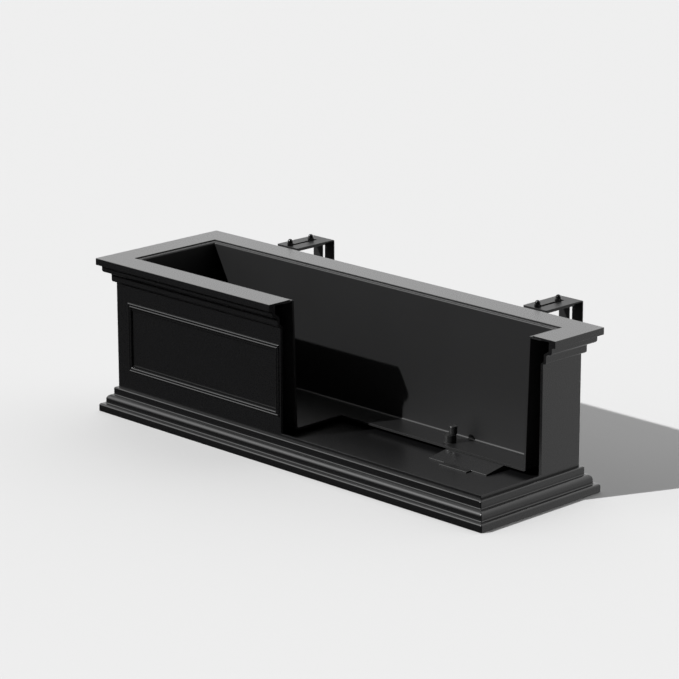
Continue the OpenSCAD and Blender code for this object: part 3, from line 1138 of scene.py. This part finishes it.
    def cap_nut(self, y: float) -> bpy.types.Object:
        """Domed nut: a chamfered hexagon with a neck and a round dome.

        Args:
            y: The stud's Y.

        Returns:
            The nut.
        """
        low = self.top + self.slide_gap / 2
        corner = self.nut_flats / 2 / math.cos(math.pi / 6)
        nut = add_rod("cap_nut", (self.middle, y, low), corner, self.nut_hex, sides=6)
        carve(nut, self.chamfer((self.middle, y, low)), "INTERSECT")
        dome_radius = self.nut_flats * 0.46
        foot = low + self.nut_hex - 0.5
        dome = add_rod("dome", (self.middle, y, foot), dome_radius, self.nut_neck, sides=40)
        start = foot + self.nut_neck
        select_vertices(dome, lambda p: p.z > start - NEAR)
        bpy.ops.mesh.select_mode(type="FACE")
        radius, height = dome_radius, 0.0
        for out, up in arc((0, 0), dome_radius, 0, 90, 8)[1:-1]:
            step = (0, 0, (up - height) * MM)
            bpy.ops.mesh.extrude_region_move(TRANSFORM_OT_translate={"value": step})
            bpy.ops.transform.resize(
                value=(out / radius, out / radius, 1),
                center_override=Vector((self.middle, y, start + up)) * MM,
            )
            radius, height = out, up
        close_edit(outward=True)
        carve(nut, dome, "UNION")
        carve(nut, add_rod("nut_bore", (self.middle, y, low - 1), self.nut_bore, 9.5, sides=32))
        return nut

    def wall_screw(self, x: float, z: float) -> bpy.types.Object:
        """Pan head with a hexagon recess, on its shank.

        Args:
            x: The screw's X.
            z: The screw's Z.

        Returns:
            The screw.
        """
        face = WALL_Y + self.plate
        head = add_rod("screw", (x, face, z), self.head_radius, self.head_height, Axis.Y, 40)
        select_edges(head, lambda a, b: min(a.y, b.y) > face + self.head_height - 0.1)
        bpy.ops.mesh.bevel(offset=self.head_rounding * MM, segments=5, clamp_overlap=False)
        close_edit(outward=True)
        carve(head, add_rod("recess", (x, face + 1.6, z), self.recess, 4, Axis.Y, 6))
        foot = (x, face - self.plate - self.shank_length, z)
        length = self.shank_length + self.plate + 0.5
        carve(head, add_rod("shank", foot, self.shank_radius, length, Axis.Y, 32), "UNION")
        return head

    def nuts(self) -> bpy.types.Object:
        """Both domed nuts, the second copied from the first."""
        nut = self.cap_nut(self.stud_ys[0])
        return join_all([nut, copy_of(nut, (0, self.stud_pitch, 0))], "domed_nuts")

    def screws(self) -> bpy.types.Object:
        """All four wall screws, three of them copied from the first.

        Returns:
            The screws as one mesh.
        """
        first_dx, first_z = SCREW_PLACES[0]
        screw = self.wall_screw(self.middle + first_dx, first_z)
        moves = [(dx - first_dx, 0, z - first_z) for dx, z in SCREW_PLACES[1:]]
        return join_all([screw, *(copy_of(screw, move) for move in moves)], "screws")

    def build(self, steel: bpy.types.Material, black: bpy.types.Material) -> None:
        """Models the left bracket's pieces and copies them for the right one.

        Args:
            steel: Material of arm and hook.
            black: Material of nuts and screws.
        """
        models = [
            ("arm", self.arm(), steel, "bracket_steel", "bracket_arm"),
            ("hook", self.hook(), steel, "bracket_steel", "bracket_hook"),
            ("domed_nuts", self.nuts(), black, "fastener_steel", "cap_nuts"),
            ("screws", self.screws(), black, "fastener_steel", "wall_screws"),
        ]
        twins = [copy_of(model, (2 * BRACKET_X, 0, 0)) for _, model, *_ in models]
        for side in Side:
            for (title, model, finish, slot, node), twin in zip(models, twins):
                piece = model if side is Side.LEFT else twin
                piece.name = piece.data.name = f"{side.value}_{title}"
                body = f"{side.value}_hook" if title == "hook" else BODY
                finish_piece(piece, finish, slot, body, f"{side.value}_{node}")


@dataclass(frozen=True)
class Studio:
    """Pale floor, key light, room light and the camera at the photograph's view, in metres."""

    camera_place: tuple[float, float, float] = (3.52213, -3.48188, 1.60161)
    azimuth: float = 45.325
    elevation: float = 15.874
    roll: float = -0.1
    lens: float = 163.44
    sun_travel: tuple[float, float, float] = (0.340, 0.738, -0.583)
    sun_strength: float = 5.5
    sun_softness: float = 0.9
    back_wall_way: tuple[float, float, float] = (-0.22, 0.92, 0.28)
    back_wall_glow: float = 1.42
    back_wall_full: float = 0.9
    soft_box_way: tuple[float, float, float] = (-0.69, -0.54, 0.48)
    soft_box_glow: float = 1.5
    soft_box_reach: float = 34.0
    soft_box_core: float = 10.0
    floor_tone: float = 0.525
    floor_size: float = 60.0
    floor_drop: float = 0.0002

    def floor(self) -> None:
        """Wide pale floor."""
        deselect()
        bpy.ops.mesh.primitive_plane_add(size=self.floor_size, location=(0, 0, -self.floor_drop))
        floor = name_active("studio_floor")
        paint = bpy.data.materials.new("pale_floor")
        paint.use_nodes = True
        shader = paint.node_tree.nodes["Principled BSDF"]
        shader.inputs["Base Color"].default_value = (self.floor_tone,) * 3 + (1,)
        shader.inputs["Roughness"].default_value = 0.95
        shader.inputs["Specular IOR Level"].default_value = 0.0
        floor.data.materials.append(paint)
        floor.visible_glossy = False

    def lights(self) -> None:
        """One soft-edged key light, and a room that is bright behind the object."""
        lamp = bpy.data.lights.new("key_light", "SUN")
        lamp.energy = self.sun_strength
        lamp.angle = math.radians(self.sun_softness)
        key = bpy.data.objects.new("key_light", lamp)
        key.rotation_euler = Vector(self.sun_travel).to_track_quat("-Z", "Y").to_euler()
        bpy.context.scene.collection.objects.link(key)

        world = bpy.data.worlds.new("room")
        world.use_nodes = True
        bpy.context.scene.world = world
        nodes, links = world.node_tree.nodes, world.node_tree.links
        background = nodes["Background"]
        background.inputs["Color"].default_value = (1, 1, 1, 1)
        way = nodes.new("ShaderNodeTexCoord").outputs["Generated"]

        def glow(
            centre: Sequence[float], start: float, end: float, strength: float
        ) -> bpy.types.NodeSocket:
            """Light that swells towards one direction.

            Args:
                centre: The direction of the brightest spot.
                start: Cosine of the angle from there at which the light begins.
                end: Cosine of the angle at which it is full.
                strength: Its full radiance.

            Returns:
                The socket that carries the radiance.
            """
            nearness = nodes.new("ShaderNodeVectorMath")
            nearness.operation = "DOT_PRODUCT"
            nearness.inputs[1].default_value = Vector(centre).normalized()
            links.new(way, nearness.inputs[0])
            swell = nodes.new("ShaderNodeMapRange")
            swell.interpolation_type = "SMOOTHSTEP"
            swell.inputs["From Min"].default_value = start
            swell.inputs["From Max"].default_value = end
            swell.inputs["To Max"].default_value = strength
            links.new(nearness.outputs["Value"], swell.inputs["Value"])
            return swell.outputs["Result"]

        total = nodes.new("ShaderNodeMath")
        back_wall = glow(self.back_wall_way, 0.0, self.back_wall_full, self.back_wall_glow)
        links.new(back_wall, total.inputs[0])
        edge = math.cos(math.radians(self.soft_box_reach))
        core = math.cos(math.radians(self.soft_box_core))
        links.new(glow(self.soft_box_way, edge, core, self.soft_box_glow), total.inputs[1])
        links.new(total.outputs["Value"], background.inputs["Strength"])

    def camera(self) -> None:
        """Camera of the photograph."""
        turn, lift, roll = (
            math.radians(v) for v in (self.azimuth, self.elevation, self.roll)
        )
        back = Vector(
            (
                math.sin(turn) * math.cos(lift),
                -math.cos(turn) * math.cos(lift),
                math.sin(lift),
            )
        )
        level = Vector((math.cos(turn), math.sin(turn), 0))
        plumb = back.cross(level)
        right = level * math.cos(roll) + plumb * math.sin(roll)
        up = plumb * math.cos(roll) - level * math.sin(roll)
        data = bpy.data.cameras.new("view")
        data.sensor_width = 36
        data.lens = self.lens
        data.clip_start, data.clip_end = 0.1, 100
        camera = bpy.data.objects.new("view", data)
        camera.matrix_world = Matrix.Translation(self.camera_place) @ Matrix(
            (right, up, back)
        ).transposed().to_4x4()
        bpy.context.scene.collection.objects.link(camera)
        bpy.context.scene.camera = camera

    def build(self) -> None:
        """Sets up camera, floor, lights and plain colour handling."""
        self.camera()
        self.floor()
        self.lights()
        bpy.context.scene.view_settings.view_transform = "Standard"


def dress_kept_nodes(finishes: dict[str, bpy.types.Material]) -> None:
    """Gives each CAD node that stays its finish.

    Args:
        finishes: Material for each of the record's slots.
    """
    slots = {part["node"]: part["material_slot"] for part in frame["record"]["subparts"]}
    for name, node in frame["nodes"].items():
        if node.hide_render:
            continue
        node.data.materials.clear()
        node.data.materials.append(finishes[slots[name]])
        log.info("%s keeps its CAD mesh, in %s", name, slots[name])


def main() -> None:
    """Builds the scene."""
    logging.basicConfig(level=logging.INFO, format="%(name)s: %(message)s")
    Studio().build()
    finishes = {
        "shell_plastic": SHELL_PLASTIC.build(),
        "liner_plastic": LINER_PLASTIC.build(),
        "fitting_plastic": FITTING_NYLON.build(),
        "gasket_rubber": GASKET_RUBBER.build(),
        "bracket_steel": POWDER_COAT.build(),
        "fastener_steel": BLACK_FASTENER.build(),
        "insert_brass": TURNED_BRASS.build(),
    }
    cut = Cutaway()
    OuterShell().build(cut, finishes["shell_plastic"])
    InnerLiner().build(cut, finishes["liner_plastic"])
    Standpipe().build(finishes["fitting_plastic"])
    RailBracket().build(finishes["bracket_steel"], finishes["fastener_steel"])
    dress_kept_nodes(finishes)
    deselect()


if __name__ == "__main__":
    main()
